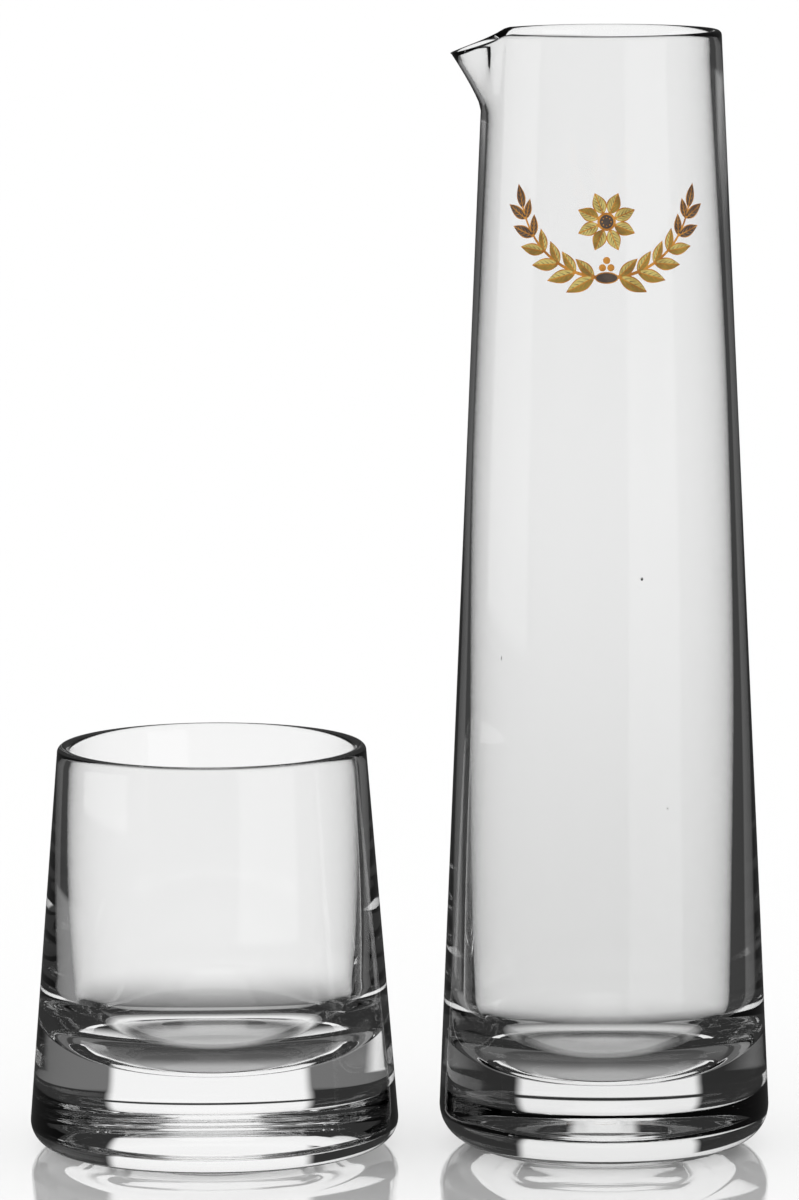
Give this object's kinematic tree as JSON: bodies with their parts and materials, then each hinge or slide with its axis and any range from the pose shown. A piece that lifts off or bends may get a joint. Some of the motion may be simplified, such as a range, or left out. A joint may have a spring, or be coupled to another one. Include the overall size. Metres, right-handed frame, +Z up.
{
  "type": "bedside carafe with tumbler",
  "caption": "Tall tapering clear-glass water carafe with a drooping pouring spout and a printed laurel wreath, beside a matching heavy-based tumbler that lifts away.",
  "frame": {"origin": "on the table, in the middle of the rectangle that the carafe and the tumbler cover together", "axes": "+Z up; +X from the tumbler to the carafe; the printed motif faces -Y and the spout points to -X"},
  "size_m": [0.1794, 0.0894, 0.27],
  "materials": {
    "carafe_glass": "clear mouth-blown soda-lime glass, fire-polished lip, faintly uneven inside",
    "tumbler_glass": "clear soda-lime glass, fire-polished lip, polished foot",
    "fired_gold": "fired-on burnished orange gold, satin",
    "olive_enamel": "fired-on olive-gold enamel",
    "pale_enamel": "fired-on pale yellow-gold enamel",
    "umber_enamel": "fired-on dark umber enamel"
  },
  "bodies": {
    "carafe": {"carafe_glass": "carafe_glass", "motif_gold": "fired_gold", "motif_olive": "olive_enamel", "motif_pale": "pale_enamel", "motif_umber": "umber_enamel"},
    "tumbler": {"tumbler_glass": "tumbler_glass"}
  },
  "joints": [
    {"name": "tumbler_lift", "type": "slide", "parent": "carafe", "child": "tumbler", "axis": [0, 0, 1], "range_m": [0, 0.15]}
  ]
}
